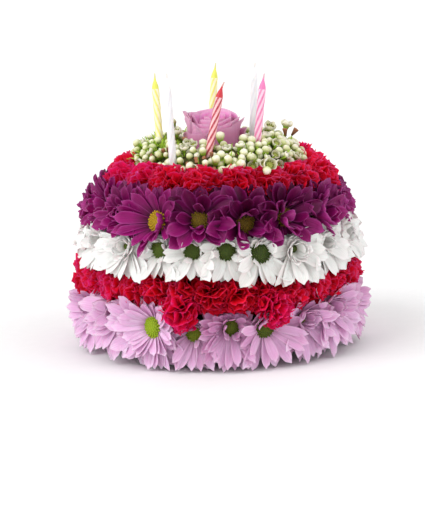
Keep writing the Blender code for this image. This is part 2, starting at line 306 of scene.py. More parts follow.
def daisy_petals(row, gathered, centre, axes, petals, rows, columns):
    """Petals of one head of a row. Each is a row of numbers: angle, start radius, rise, length, half width,
    pitch at its base and at its tip, sway, twist, channel and tone."""
    if not petals:
        return
    side, other, facing = axes
    angle, start, rise, length, half, pitch, tip, sway, twist, channel, tone = np.array(petals).T[:, :, None, None]
    along, across = blade_places(rows, columns)
    along = 1.0 - (1.0 - along) ** 1.4
    reached = along - 0.07 * across**2 * along**4
    bend = np.where(np.abs(tip - pitch) < 1e-3, 1e-3, tip - pitch)
    slope = pitch + bend * reached
    out = length * (np.sin(slope) - np.sin(pitch)) / bend
    lift = length * (np.cos(pitch) - np.cos(slope)) / bend
    width = half * np.interp(along, *row.outline)
    spoke, flank = turned_pair(angle, side, other)
    square = turned_pair(slope, spoke, facing)[1]
    flank, square = turned_pair(twist * along, flank, square)
    relief = channel * width * (across**2 - 0.35)
    relief = relief + row.grooves * np.cos(3 * math.pi * across) * np.sin(math.pi * along)
    middle = (
        centre
        + spoke * (start + out)[..., None]
        + facing * (rise + lift)[..., None]
        + flank * (width * across + sway * length * along**2)[..., None]
        + square * relief[..., None]
    )
    thin_shells(gathered, middle, across, along, tone, row.thickness, finish=0)


def button_disc(gathered, centre, axes, radius, height, florets, tone, finish):
    """A disc: a low cushion crowded with florets in spirals, open at the rim and tight in the middle."""
    side, other, facing = axes
    cushion = [(-0.45, 0.0), (-0.45, 0.55), (-0.1, 0.93), (0.25, 0.9), (0.62, 0.68), (0.82, 0.38), (0.9, 0.0)]
    cushion = [(rise * height, reach * radius) for rise, reach in cushion]
    turned_solid(gathered, centre, axes, cushion, 14, tone * 0.6, finish)
    for i in range(florets):
        share = math.sqrt((i + 0.5) / florets)
        angle = i * GOLDEN_ANGLE
        lean = share * 1.05
        outward = math.cos(angle) * side + math.sin(angle) * other
        grow = unit(outward * math.sin(lean) + facing * math.cos(lean))
        foot = centre + outward * radius * 0.93 * share + facing * height * (0.85 * math.cos(share * 1.45) - 0.1)
        size = radius * (0.085 + 0.055 * share)
        tall = size * (1.0 + 0.9 * share)
        bead = [(-size, 0.0), (0.0, size), (tall, size * 0.72), (tall * 1.25, 0.0)]
        turned_solid(gathered, foot, axes_about(grow), bead, 5, tone * (0.55 + 0.45 * share), finish)


def calyx_and_stem(gathered, centre, axes, radius, finish):
    """The green cup that holds the petals, and the cut stem, which ends inside the foam."""
    depth = math.hypot(centre[0], centre[1]) - FOAM_RADIUS + 0.004
    cup = [(-depth, 0.0), (-depth, 0.0016), (-0.0085, 0.0018), (-0.0060, radius * 0.75), (-0.0025, radius * 1.12)]
    turned_solid(gathered, centre, axes, cup + [(-0.0006, radius * 1.0), (-0.0004, 0.0)], 12, 0.4, finish)


def petal_finish(name, base, body, edge, underside, shade, roughness=0.5, deep=0.30, tone_and_painted_shade_share=0.55, veins=0.35):
    """A petal's finish: colour from base to tip, veins drawn along it, paler edges, its own underside, and a
    tone that differs from petal to petal. shade is the colour of the veins and of painted shade: the darkest
    petals, whose tone is low at random or as painted shade on shaded heads and upper petals, are painted in it
    by the share given for tone 0; deep is where along the petal its base colour has gone."""
    petal = Finish(name, roughness)
    petal.fixed(Subsurface_Weight=0.3, Subsurface_Scale=0.003, Subsurface_Radius=(1.0, 0.5, 0.6))
    petal.fixed(Specular_IOR_Level=0.2)
    place, across, along, tone = petal.petal_place()
    below = petal.attribute("under", "Fac")
    streaks = petal.streaks(place, (7.0, 0.9, 60.0), 1.6)
    colour = petal.ramp(along, (0.0, base), (deep, body), (0.80, body), (1.0, edge))
    colour = petal.tinted(colour, edge, petal.math("ABSOLUTE", across, 0.0), (0.72, 0.0), (1.0, 0.6))
    colour = petal.tinted(colour, underside, below, (0.5, 0.0), (1.0, 0.85))
    colour = petal.tinted(colour, shade, streaks, (0.35, veins), (0.60, 0.0))
    # Painted shade: petals of low tone, on shaded heads and their upper petals, are painted in the shade colour;
    # tone also differs at random.
    colour = petal.tinted(colour, shade, tone, (0.0, tone_and_painted_shade_share), (1.0, 0.0))
    petal.bumped(streaks, veins, 0.0004)
    return petal.coloured(colour, petal.ramp(streaks, (0.3, roughness + 0.15), (0.7, roughness - 0.1)))


def green_finish(name, dark, light, roughness=0.6):
    """Green parts: mottled, and lighter towards the far end of each floret or leaf."""
    green = Finish(name, roughness)
    green.fixed(Subsurface_Weight=0.1, Subsurface_Scale=0.001, Specular_IOR_Level=0.3)
    _, _, along, tone = green.petal_place()
    mottle = green.mottle(900.0, 3.0)
    speckle = green.math("MULTIPLY", mottle, 0.4)
    share = green.math("MULTIPLY", green.math("ADD", along, 0.25), green.math("ADD", tone, speckle))
    green.bumped(mottle, 0.3, 0.0003)
    return green.coloured(
        green.ramp(share, (0.1, dark), (0.95, light)), green.ramp(mottle, (0.3, roughness), (0.7, roughness + 0.2))
    )


# What a crowded petal may do, least change first: keep a share of its length and fold by some degrees.
LEAST_CHANGE = sorted(
    ((share / 100, fold) for share in range(100, 27, -6) for fold in range(0, 56, 7)),
    key=lambda change: (1.0 - change[0]) * 2.0 + (change[1] / 30.0) ** 2,
)
# Where along a petal its room is tested.
TESTED_PARTS = (0.35, 0.6, 0.8, 1.0)
# How the gap between two heads is shared: more for each metre that a head stands further out, within limits.
SHARE_FOR_OUT, LEAST_SHARE, MOST_SHARE = 40.0, 0.5, 1.15
USUAL_LOOK = dict(
    size=1.0, moved=0.0, disc=0.4, tone=0.75, spare=0.0, drop=0.0, over=0.0, frill=1.0, full=1.0, broad=1.0,
    flat=0.0, cant=0.0, opened=1.0, room=1.0, curled=(),
)


def look_of(turn, tilt, lift, out, moved=0.0, size=1.0, disc=0.4, tone=0.75, **rest):
    """The look of one head that differs from its row's; DaisyRow.head says what each name means."""
    return dict(turn=turn, tilt=tilt, lift=lift, out=out, moved=moved, size=size, disc=disc, tone=tone, **rest)


class DaisyRow:
    """One row of daisies. heads is their count, phase and crowding. Heights are in metres; low and high say how
    high the rows below and above begin at the foam, and how fast they fall away from it. rim is how far the
    row stands out at its fullest height, belly. layers are rings of petals from the inside out: how many,
    shares of length and breadth, pitch and curl in degrees, and the mesh's rows and columns. The petals go
    round the carnations, given by their middles and reaches. dusk is how much darker the upper
    petals are painted, as painted shade for the shadow that the row above casts on them."""

    disc, disc_height, florets, overlap = 0.0062, 0.0034, 80, 0.24
    thickness, outline = 0.0004, DAISY_OUTLINE

    def __init__(self, carnations, **facts):
        self.__dict__.update(facts)
        self.round_middles = np.array([middle for middle, _ in carnations])
        self.round_reaches = np.array([reach for _, reach in carnations])

    def fits(self, point, sides, spare):
        """Whether a petal's point lies in the space its head has between its neighbours."""
        radius = math.hypot(point[0], point[1])
        drop, rise, over = spare
        rim = self.rim - self.above * max(0.0, point[2] - self.belly) - self.below * max(0.0, self.belly - point[2])
        rim += over
        low = self.low[0] - self.low[1] * (radius - FOAM_RADIUS) - drop
        high = self.high[0] - self.high[1] * (radius - FOAM_RADIUS) + rise
        if not (FOAM_RADIUS + 0.001 < radius < rim and low < point[2] < high):
            return False
        if any(np.linalg.norm(self.round_middles - point, axis=1) < self.round_reaches):
            return False
        azimuth = math.degrees(math.atan2(point[0], -point[1]))
        before, after = ((edge - azimuth + 180.0) % 360.0 - 180.0 for edge in sides)
        return before < 0.0 < after

    def settled(self, centre, facing, spoke, start, length, lean, curl, sides, spare):
        """The length and pitch of a petal that give it room: it folds forward or is shorter, whichever is less."""
        for share, fold in LEAST_CHANGE:
            pitch = math.radians(lean + fold)
            chord = pitch + curl / 2
            reach = length * share
            points = (
                centre + spoke * (start + part * reach * math.cos(chord)) + facing * part * reach * math.sin(chord)
                for part in TESTED_PARTS
            )
            if all(self.fits(point, sides, spare) for point in points):
                break
        return reach, pitch

    def head(self, gathered, azimuth, sides, number, look):
        """One head, with its look. turn and tilt aim its face; lift and out shift it from the row's circle, and
        moved along it; disc and tone are painted shade on its disc and petals, lower on heads that lie in shade,
        which are painted darker. Its petals may rise above their space by spare, drop below it and stand over its
        rim. frill and full are the shares of inner and other petals, flat is how much flatter they lie, cant how
        much the left ones stand up more than the right, and broad how wide they are. opened sizes the disc, and
        curled lists small petals bent over it: angle, length and bend. room is the share of its right side that
        the head keeps."""
        random = np.random.default_rng([len(self.name), number])
        size, tilt = look["size"], math.radians(look["tilt"])
        centre = at(self.radius + look["out"], azimuth, self.height + look["lift"])
        facing = unit(at(math.cos(tilt), azimuth + look["turn"], math.sin(tilt)))
        axes = axes_about(facing)
        side, other, _ = axes
        disc = self.disc * size * look["opened"]
        start = disc * 0.72
        spare = look["drop"], look["spare"], look["over"]
        for layer, (count, reach, breadth, lean, curl, rows, columns) in enumerate(self.layers):
            petals = []
            count = round(count * look["frill" if layer == 0 else "full"])
            rise = 0.0010 - 0.0011 * layer
            for i in range(count):
                angle = math.tau * (i + 0.5 * layer + 0.3 * random.uniform(-1, 1)) / count + number
                spoke = math.cos(angle) * side + math.sin(angle) * other
                length = self.length * size * reach * random.uniform(0.86, 1.06)
                unruly = self.unruly * random.uniform(-1, 1) ** 3
                pitch = lean - look["flat"] - look["cant"] * math.cos(angle) + unruly
                bend = math.radians(curl + 14 * random.uniform(-1, 1))
                length, pitch = self.settled(centre, facing, spoke, start, length, pitch, bend, sides, spare)
                half = self.half * size * breadth * look["broad"] * random.uniform(0.85, 1.12)
                half *= min(1.0, 0.5 + 0.5 * length / self.length / reach)
                sway, twist = 0.12 * random.uniform(-1, 1), 0.45 * random.uniform(-1, 1)
                channel = self.channel * random.uniform(0.4, 1.4)
                # Painted shade: the head's tone, lowered on its upper petals for the shadow of the row above; the
                # rest differs at random.
                tone = look["tone"] - self.dusk * spoke[2] + 0.25 * random.uniform(-1, 1) + 0.04 * (1 - layer)
                tone = float(np.clip(tone, 0, 1))
                petals.append((angle, start, rise, length, half, pitch, pitch + bend, sway, twist, channel, tone))
            daisy_petals(self, gathered, centre, axes, petals, rows, columns)
        curled = [
            (math.radians(angle), disc * 0.9, 0.0010, self.length * size * reach, self.half * size * 0.55)
            + (math.radians(bent - 70.0), math.radians(bent), 0.1, 0.2, self.channel, look["tone"])
            for angle, reach, bent in look["curled"]
        ]
        daisy_petals(self, gathered, centre, axes, curled, 7, 5)
        # The disc's tone from the look is painted shade: low on heads in shade, whose discs are painted darker.
        button_disc(gathered, centre, axes, disc, self.disc_height, self.florets, look["disc"], 1)
        calyx_and_stem(gathered, centre, axes, disc, 2)

    def arranged(self, looks, finishes):
        """Every head of the row, one piece for each CAD head."""
        turns, settings = azimuths(*self.heads), []
        for number in range(len(turns)):
            sway = math.sin(2.3 * number)
            look = dict(USUAL_LOOK, turn=5.0 * math.sin(4.1 * number), tilt=self.tilt + 6.0 * sway)
            look.update(lift=0.0012 * sway, out=0.0025 * (-1) ** number)
            look.update(looks.get(number, {}))
            turns[number] += look["moved"]
            settings.append(look)
        for number, (azimuth, look) in enumerate(zip(turns, settings)):
            sides = []
            for step in (-1, 1):
                beside = (number + step) % len(turns)
                gap = ((turns[beside] - azimuth) * step) % 360.0
                share = 0.5 + self.overlap + SHARE_FOR_OUT * (look["out"] - settings[beside]["out"])
                share = min(max(share, LEAST_SHARE), MOST_SHARE) * (look["room"] if step > 0 else 1.0)
                sides.append(azimuth + step * gap * share)
            gathered = Gathered()
            self.head(gathered, azimuth, sides, number, look)
            name = f"{self.name}_{number + 1:02d}"
            gathered.piece("petals_" + name, finishes, [name])


stem_green = green_finish("stem_and_calyx", srgb(38, 60, 24), srgb(122, 150, 72))

# Carnations of the band above, by middle and size: two that hang down between these daisies, and the back ones.
LOW_CARNATIONS = [(at(0.0945, -16.0, 0.0400), 0.0128), (at(0.0945, 22.0, 0.0410), 0.0122)]
BACK_CARNATIONS = [(at(0.0850, 85.5 + 16.3 * k, 0.0500 + 0.0035 * math.sin(2.4 * k)), 0.0146) for k in range(13)]
lavender_row = DaisyRow(
    LOW_CARNATIONS + BACK_CARNATIONS,
    name="lavender_daisy",
    heads=(16, 4.2, 0.28),
    radius=0.0880,
    height=0.0270,
    tilt=2.0,
    layers=(
        (9, 0.42, 0.75, 58.0, 24.0, 6, 5),
        (18, 0.94, 1.0, 30.0, -8.0, 8, 7),
        (18, 1.0, 1.1, 12.0, -8.0, 8, 7),
        (18, 0.9, 1.4, -12.0, -6.0, 7, 5),
    ),
    unruly=16.0,
    length=0.0290,
    half=0.0040,
    channel=0.35,
    grooves=0.00016,
    rim=0.1080,
    belly=0.0280,
    above=0.10,
    below=0.22,
    low=(0.0010, 0.0),
    high=(0.0440, 0.16),
    dusk=0.3,
)
# The shade colour is painted shade, for the petals of low tone on shaded heads.
lavender_petal = petal_finish(
    "lavender_petal", srgb(196, 130, 174), srgb(238, 188, 227), srgb(246, 216, 240), srgb(230, 180, 218),
    srgb(170, 94, 144), tone_and_painted_shade_share=0.75,
)
lavender_disc = green_finish("lavender_disc", srgb(20, 26, 6), srgb(142, 166, 26))
# Each head's look: its disc and tone are painted shade, low on the heads at the middle front that lie in shade and
# highest on the lit heads at the left.
lavender_row.arranged(
    {
        12: look_of(
            16.0, 6.0, 0.004, -0.0015, -2.0, 1.12, 0.4, 0.95, spare=0.004, frill=2.6, full=1.25, cant=18.0,
            opened=0.5,
        ),
        13: look_of(
            14.0, 6.0, 0.008, -0.0005, 1.0, 1.14, 0.6, 0.95, spare=0.005, frill=2.6, full=1.25, cant=18.0,
            opened=0.5,
        ),
        14: look_of(
            -22.0, 2.0, 0.0025, 0.0085, 3.5, 1.16, 1.0, 1.0, spare=0.009, frill=0.0, full=1.2, cant=26.0,
            room=0.6,
        ),
        15: look_of(
            6.0, 0.0, -0.002, 0.0005, 2.5, 0.95, 0.4, 0.5, spare=-0.01, frill=0.3, full=1.35, broad=0.9,
            flat=4.0,
        ),
        0: look_of(4.0, 0.0, 0.002, 0.002, 1.5, 0.95, 0.15, 0.3, full=1.35, broad=0.85, cant=8.0),
        1: look_of(
            14.0, -6.0, 0.001, 0.0045, -1.0, 1.1, 0.1, 0.5, spare=-0.008, frill=0.0, full=1.2, broad=0.9,
            flat=8.0, cant=-6.0,
        ),
        2: look_of(
            4.0, 0.0, 0.003, 0.001, 0.0, 1.04, 0.3, 0.65, spare=0.004, frill=2.2, cant=-12.0, opened=0.6,
        ),
        3: look_of(
            0.0, 8.0, 0.006, 0.0015, -3.0, 1.1, 0.3, 0.7, spare=0.01, frill=2.0, full=1.2, cant=-20.0,
            opened=0.6,
        ),
        4: look_of(
            -4.0, 8.0, 0.006, -0.0015, -2.0, 1.1, 0.3, 0.7, spare=0.006, frill=2.0, full=1.2, cant=-20.0,
            opened=0.6,
        ),
    },
    [lavender_petal, lavender_disc, stem_green],
)


# Lower carnations: twenty-seven crimson mini carnations are packed into one ruffled band above the lavender
# daisies, some pushed in lower than others. Each head is a green tube out of which some thirty fan-shaped petals
# burst in a dome, waved and toothed along their edges. Its stem is cut off and pinned into the foam.


CARNATION_SPREAD = math.radians(98.0)


def carnation_head(gathered, centre, axis, radius, petals, seed, tone):
    """One carnation about its axis. Petals spring from the mouth of the calyx and end on a dome, the outermost
    at the spread's angle from the axis."""
    random = np.random.default_rng(seed)
    side, other, axis = axes_about(unit(axis))
    number = np.arange(petals) + 0.5
    lean = np.arccos(1.0 - number / petals * (1.0 - math.cos(CARNATION_SPREAD)))
    turn = np.arange(petals) * GOLDEN_ANGLE + seed
    lean = np.clip(lean + random.uniform(-0.13, 0.13, petals), 0.03, None)
    outward = turned_pair(turn, side, other)[0]
    grow = turned_pair(lean, axis, outward)[0]
    flank = np.cross(axis, outward)
    swivel = random.uniform(-1.0, 1.0, petals) * np.interp(lean, [0.0, 1.5], [1.5, 0.5])
    flank, back = turned_pair(swivel, flank, np.cross(flank, grow))
    mouth = centre - axis * radius * 0.80
    end = centre + grow * radius * random.uniform(0.90, 1.10, petals)[:, None]
    columns = 13
    along, across = blade_places(5, columns)

    def each(values):
        return np.asarray(values)[:, None, None]

    teeth = 0.04 * random.uniform(-1.0, 1.0, (petals, 1, columns)) + 0.022 * (-1.0) ** np.arange(columns)
    reached = along * (1.0 - 0.16 * across**2 * along) + teeth * along**6
    width = radius * each(random.uniform(0.62, 1.00, petals)) * (0.16 + 0.84 * along**1.4)
    waves = each(random.uniform(0.7, 1.25, petals)) * math.pi
    wave = np.sin(waves * across + each(random.uniform(0, math.tau, petals)))
    crimp = np.sin(2.7 * waves * across + each(random.uniform(0, math.tau, petals)))
    ruffle = radius * (0.23 * wave * along**2 + 0.04 * crimp * along**4)
    curl = radius * each(random.uniform(0.05, 0.34, petals)) * along**4
    cupped = -radius * 0.16 * (1.0 - across**2) * np.sin(math.pi * along)
    middle = (
        mouth
        + (end - mouth)[:, None, None] * reached[..., None]
        + flank[:, None, None] * (width * across * (1.0 - 0.12 * np.abs(wave)))[..., None]
        + back[:, None, None] * (ruffle - curl + cupped)[..., None]
        + grow[:, None, None] * (0.05 * radius * crimp * along**5)[..., None]
    )
    shades = np.clip(tone + random.uniform(-0.25, 0.25, petals), 0.0, 1.0)
    thin_shells(gathered, middle, across, along, each(shades), 0.00045, finish=0)
    tube = [(-0.0210, 0.0), (-0.0210, 0.0014), (-0.0120, 0.0018), (-0.0105, 0.0034), (-0.0035, 0.0042)]
    turned_solid(gathered, mouth, (side, other, axis), tube + [(0.0, 0.0040), (0.0006, 0.0)], 10, 0.4, 1)


def carnation_finish(name, depth, body, edge, pinker):
    """Carnation petals: painted shade dark down inside the head, vivid on the blades, palest at the toothed
    edges; heads of low tone are painted darker, as shade, and those with the highest tone pinker all over."""
    carnation = Finish(name, 0.55)
    carnation.fixed(Subsurface_Weight=0.3, Subsurface_Scale=0.003, Subsurface_Radius=(1.0, 0.15, 0.3))
    carnation.fixed(Specular_IOR_Level=0.0)
    place, _, along, tone = carnation.petal_place()
    fibres = carnation.streaks(place, (9.0, 1.0, 80.0), 1.5)
    # Painted shade: dark low down inside the head, and darker still on heads of low tone.
    colour = carnation.ramp(along, (0.25, depth), (0.66, body), (0.97, body), (1.0, edge))
    colour = carnation.tinted(colour, depth, tone, (0.1, 0.40), (0.6, 0.0))
    colour = carnation.tinted(colour, pinker, tone, (0.70, 0.0), (1.0, 0.65))
    colour = carnation.tinted(colour, depth, fibres, (0.35, 0.18), (0.62, 0.0))
    carnation.bumped(fibres, 0.4, 0.0005)
    return carnation.coloured(colour, carnation.ramp(fibres, (0.3, 0.65), (0.7, 0.45)))


crimson_petal = carnation_finish(
    "crimson_petal", srgb(122, 0, 12), srgb(242, 26, 52), srgb(248, 40, 72), srgb(240, 28, 104)
)

# Azimuth, height and tone of the heads at the front. The tone is painted light and shade: high on the lit
# heads at the left, which it makes lighter and pinker, and low on the heads in shade, which it makes darker.
LOWER_HEADS = (
    (-66.0, 0.0545, 0.8), (-50.0, 0.0520, 0.95), (-37.0, 0.0495, 0.7), (-26.5, 0.0545, 0.6),
    (-15.0, 0.0560, 0.4), (-3.5, 0.0510, 0.4), (8.5, 0.0500, 0.5), (20.5, 0.0498, 0.3),
    (31.5, 0.0500, 0.4), (44.0, 0.0515, 0.5), (57.0, 0.0530, 0.5), (71.0, 0.0520, 0.5),
)
LOWER_BAND_RADIUS = 0.0860
lower_band = Gathered()
for number, (azimuth, height, tone) in enumerate(LOWER_HEADS):
    centre, axis = at(LOWER_BAND_RADIUS, azimuth, height), at(1.0, azimuth, 0.05)
    carnation_head(lower_band, centre, axis, radius=0.0138, petals=34, seed=120 + number, tone=tone)
for number, (centre, radius) in enumerate(LOW_CARNATIONS):
    axis = centre * (1.0, 1.0, 0.0) - (0.0, 0.0, 0.011)
    carnation_head(lower_band, centre, axis, radius, petals=28, seed=150 + number, tone=0.95)
for number, (centre, radius) in enumerate(BACK_CARNATIONS):
    axis = centre * (1.0, 1.0, 0.0) + (0.0, 0.0, 0.00255)
    tone = 0.5 + 0.2 * math.sin(1.9 * number)
    carnation_head(lower_band, centre, axis, radius, petals=34, seed=200 + number, tone=tone)
lower_band.piece("lower_carnation_heads", [crimson_petal, stem_green], ["lower_carnations"])


# White daisies: eighteen heads in a row above the carnations, of the same build as the lavender ones, with
# drooping petals that hang over the carnations. Round the green discs stand rings of short inner florets.

white_row = DaisyRow(
    BACK_CARNATIONS + [(at(LOWER_BAND_RADIUS, azimuth, height), 0.0135) for azimuth, height, _ in LOWER_HEADS],
    name="white_daisy",
    heads=(18, 4.7, 0.32),
    radius=0.0885,
    height=0.0785,
    tilt=4.0,
    layers=(
        (11, 0.42, 0.75, 60.0, 24.0, 6, 5),
        (18, 0.92, 1.0, 32.0, -22.0, 8, 7),
        (18, 1.0, 1.1, 12.0, -18.0, 8, 7),
        (17, 0.9, 1.4, -12.0, -6.0, 7, 5),
    ),
    unruly=14.0,
    length=0.0270,
    half=0.0041,
    channel=0.30,
    grooves=0.00014,
    rim=0.1062,
    belly=0.0720,
    above=0.50,
    below=0.10,
    low=(0.0645, 0.08),
    high=(0.0960, 0.16),
    dusk=0.1,
)
# The shade colour is painted shade, for the petals of low tone on shaded heads.
white_petal = petal_finish(
    "white_petal", srgb(222, 218, 202), srgb(245, 241, 240), srgb(247, 244, 244), srgb(241, 236, 234),
    srgb(206, 196, 188),
)
white_disc = green_finish("white_disc", srgb(20, 32, 6), srgb(104, 128, 36))
# Each head's look: its disc and tone are painted shade, low on the heads at the middle front that lie in shade and
# highest on the lit heads at the left.
white_row.arranged(
    {
        11: dict(tone=1.0, size=0.9),
        12: dict(out=-0.001, tone=1.0, size=0.9, over=-0.004),
        13: dict(tone=1.0),
        14: look_of(
            0.0, 6.0, 0.003, -0.0005, 0.0, 1.05, 0.4, 1.0, spare=0.001, frill=2.0, full=1.2, flat=6.0,
            cant=18.0, opened=0.5,
        ),
        15: look_of(
            -2.0, 6.0, 0.002, 0.003, 0.0, 1.1, 0.4, 1.0, spare=-0.004, drop=0.002, frill=2.2, full=1.2,
            flat=6.0, cant=20.0, opened=0.42,
        ),
        16: look_of(-4.0, 6.0, 0.0015, 0.001, 0.0, 1.0, 0.35, 0.85, spare=-0.003, frill=0.4, flat=6.0),
        17: look_of(2.0, 4.0, 0.0015, 0.0015, 0.0, 1.0, 0.2, 0.65, spare=-0.005, frill=0.4),
        0: look_of(
            4.0, 2.0, 0.0015, 0.0025, 0.0, 1.0, 0.15, 0.6, spare=-0.005, drop=0.002, frill=0.2, flat=10.0,
        ),
        1: look_of(
            8.0, 2.0, -0.001, 0.0032, 0.0, 1.12, 0.1, 0.65, spare=-0.005, drop=0.005, frill=0.2, flat=10.0,
        ),
        2: look_of(
            6.0, 2.0, -0.0005, 0.0035, 0.0, 1.2, 0.1, 0.8, spare=-0.005, drop=0.007, frill=2.0, full=1.1,
            flat=6.0, cant=-16.0, opened=0.42,
        ),
        3: look_of(
            0.0, 0.0, 0.002, 0.001, 0.0, 1.16, 0.1, 0.95, spare=0.001, drop=0.005, frill=2.2, full=1.2,
            cant=-20.0, opened=0.55,
        ),
        4: look_of(
            -4.0, 4.0, 0.003, -0.001, 0.0, 1.1, 0.1, 1.0, spare=0.004, frill=2.2, full=1.2, cant=-20.0,
            opened=0.6,
        ),
    },
    [white_petal, white_disc, stem_green],
)


# Purple daisies: fifteen heads lean back under the crown. Their petals are fewer, broad and spoon-shaped, painted
# near black at the base as shade deep in the heads, and lighter along the edge and underneath; the discs are ochre.

# Azimuth, height, distance from the middle and tone of the crown's carnations at the front; the tone is painted
# light and shade, high on the lit heads at the left and low on those in shade. These petals go round them and
# leave the white discs clear.
CROWN_HEADS = (
    (-74.0, 0.1135, 0.0650, 1.0), (-47.5, 0.1165, 0.0630, 0.85), (-28.0, 0.1170, 0.0655, 0.6),
    (-8.5, 0.1165, 0.0670, 0.5), (11.5, 0.1165, 0.0670, 0.4), (31.5, 0.1150, 0.0675, 0.5),
    (50.0, 0.1160, 0.0690, 0.4), (70.0, 0.1160, 0.0720, 0.5),
)
# The white discs' distance from the middle, height and room.
WHITE_DISCS_OUT, WHITE_DISCS_HEIGHT, WHITE_DISCS_ROOM = 0.0945, 0.0800, 0.0095
purple_row = DaisyRow(
    [(at(radius, azimuth, height), 0.0150) for azimuth, height, radius, _ in CROWN_HEADS]
    + [(at(WHITE_DISCS_OUT, turn, WHITE_DISCS_HEIGHT), WHITE_DISCS_ROOM) for turn in azimuths(*white_row.heads)],
    name="purple_daisy",
    heads=(15, 13.6, 0.225),
    radius=0.0805,
    height=0.0985,
    tilt=16.0,
    disc=0.0060,
    disc_height=0.0030,
    florets=76,
    layers=(
        (6, 0.55, 0.80, 66.0, 14.0, 7, 5),
        (10, 0.92, 1.0, 46.0, -10.0, 9, 7),
        (11, 1.0, 1.05, 24.0, -16.0, 9, 7),
        (11, 0.9, 1.15, -8.0, -6.0, 7, 5),
    ),
    unruly=22.0,
    length=0.0275,
    half=0.0050,
    channel=0.55,
    grooves=0.00012,
    thickness=0.0005,
    outline=((0.0, 0.22, 0.45, 0.68, 0.84, 0.93, 0.98, 1.0), (0.28, 0.55, 0.86, 1.0, 0.92, 0.68, 0.42, 0.22)),
    rim=0.0985,
    belly=0.0960,
    above=0.55,
    below=0.20,
    low=(0.0968, 0.58),
    high=(0.1240, 0.10),
    overlap=0.25,
    dusk=0.35,
)
# The near black base and the shade colour are painted shade: deep in the heads, and on shaded heads and the upper
# petals under the crown.
purple_petal = petal_finish(
    "purple_petal", srgb(26, 0, 12), srgb(150, 16, 108), srgb(184, 62, 148), srgb(164, 46, 130), srgb(36, 0, 16),
    roughness=0.40, deep=0.5, tone_and_painted_shade_share=0.85,
)
purple_disc = green_finish("purple_disc", srgb(52, 38, 4), srgb(194, 158, 26))
# Each head's look: its disc and tone are painted shade, low on the heads at the middle front that lie in shade and
# highest on the lit heads at the left.
purple_row.arranged(
    {
        11: dict(tone=1.0),
        12: look_of(
            10.0, 16.0, 0.0, 0.0015, 2.0, 1.05, 0.3, 0.95, drop=0.005, over=0.003, frill=2.0, full=1.4,
            broad=0.8, cant=22.0, opened=0.5,
        ),
        13: look_of(
            -16.0, 12.0, -0.001, 0.0055, 0.0, 1.2, 0.65, 1.0, drop=0.004, over=0.006, frill=0.0, full=1.6,
            broad=0.68, flat=14.0, cant=16.0, room=0.6,
            curled=((-58.0, 0.18, 112.0), (-28.0, 0.20, 128.0), (4.0, 0.22, 120.0), (36.0, 0.18, 130.0)),
        ),
        14: look_of(
            -2.0, 16.0, 0.0, 0.002, 0.0, 1.08, 0.1, 0.6, drop=0.01, over=0.0065, frill=0.7, flat=4.0,
            curled=((-122.0, 0.24, 120.0), (-78.0, 0.28, 135.0)),
        ),
        0: look_of(4.0, 6.0, -0.0025, 0.003, 2.0, 1.1, 0.06, 0.45, drop=0.006, over=0.006),
        1: look_of(14.0, 10.0, 0.0005, 0.004, 1.0, 1.1, 0.06, 0.45, drop=0.006, over=0.006, frill=1.4),
        2: look_of(
            14.0, 8.0, -0.002, 0.003, 0.0, 1.12, 0.15, 0.85, drop=0.006, over=0.003, frill=1.6, cant=-12.0,
            opened=0.7,
        ),
        3: look_of(0.0, 16.0, 0.002, 0.0, 0.0, 1.1, 0.2, 0.9, frill=1.6, opened=0.6),
    },
    [purple_petal, purple_disc, stem_green],
)


# Crown carnations: seventeen of the same crimson carnations lie on the pared shoulder of the foam, nodding out
# over the purple daisies.

crown_band = Gathered()
for number, (azimuth, height, radius, tone) in enumerate(CROWN_HEADS):
    centre, axis = at(radius, azimuth, height), at(1.0, azimuth, 0.62)
    carnation_head(crown_band, centre, axis, radius=0.0142, petals=36, seed=300 + number, tone=tone)
# The heads at the back: how many, the azimuth of the first and the step between them.
BACK_HEADS, BACK_START, BACK_STEP = 9, 89.0, 22.75
for number in range(BACK_HEADS):
    azimuth = BACK_START + number * BACK_STEP
    radius = 0.0605 + 0.0022 * math.sin(math.radians(azimuth))
    centre = at(radius, azimuth, 0.1180 + 0.0020 * math.sin(2.4 * number))
    axis, tone = at(1.0, azimuth, 0.6), 0.5 + 0.2 * math.sin(1.9 * number)
    carnation_head(crown_band, centre, axis, radius=0.0146, petals=36, seed=400 + number, tone=tone)
crown_band.piece("crown_carnation_heads", [crimson_petal, stem_green], ["top_carnations"])


# Waxflower: short budded sprigs fill the top between the crown and the rose. Waxy cream buds and open
# five-petalled cups sit in green funnels on wiry stems, among spent brown ones and needle leaves. The sprigs are
# pushed into the foam; under them lies the dark tangle of their stems.

BUD, CUP_EYE, SPRIG_GREEN, SPENT, TANGLE = range(5)


def mound_point(reach, azimuth, sunk):
    """A point of the mound's top, reach from 0 at the rose to 1 at the crown, and the way out of it there."""
    radii = (0.0270, 0.0370, 0.0450, 0.0530, 0.0590, 0.0615)
    heights = (0.1400, 0.1445, 0.1430, 0.1390, 0.1340, 0.1290)
    places = np.linspace(0.0, 1.0, 6)
    drawn_in = 0.045 * min(0.0, math.sin(math.radians(azimuth)))
    swell = 1.0 + 0.02 * math.sin(math.radians(3 * azimuth) + 1.0) + drawn_in
    radius = np.interp(reach, places, radii) * swell
    height = np.interp(reach, places, heights) - 0.0035 * max(0.0, math.cos(math.radians(azimuth))) * (1.0 - reach)
    tilt = math.radians(np.interp(reach, (0.0, 0.25, 0.7, 1.0), (105.0, 88.0, 52.0, 20.0)))
    outward = at(1.0, azimuth, 0.0)
    grow = outward * math.cos(tilt) + np.array((0.0, 0.0, math.sin(tilt)))
    return at(radius, azimuth, height) - grow * sunk, grow


def stem_to(gathered, top, root, thick):
    """A straight wiry stem between two points."""
    way = top - root
    length = np.linalg.norm(way)
    wire = [(0.0, 0.0), (0.0, thick), (length, thick * 0.8), (length, 0.0)]
    turned_solid(gathered, root, axes_about(way / length), wire, 5, 0.5, SPRIG_GREEN)


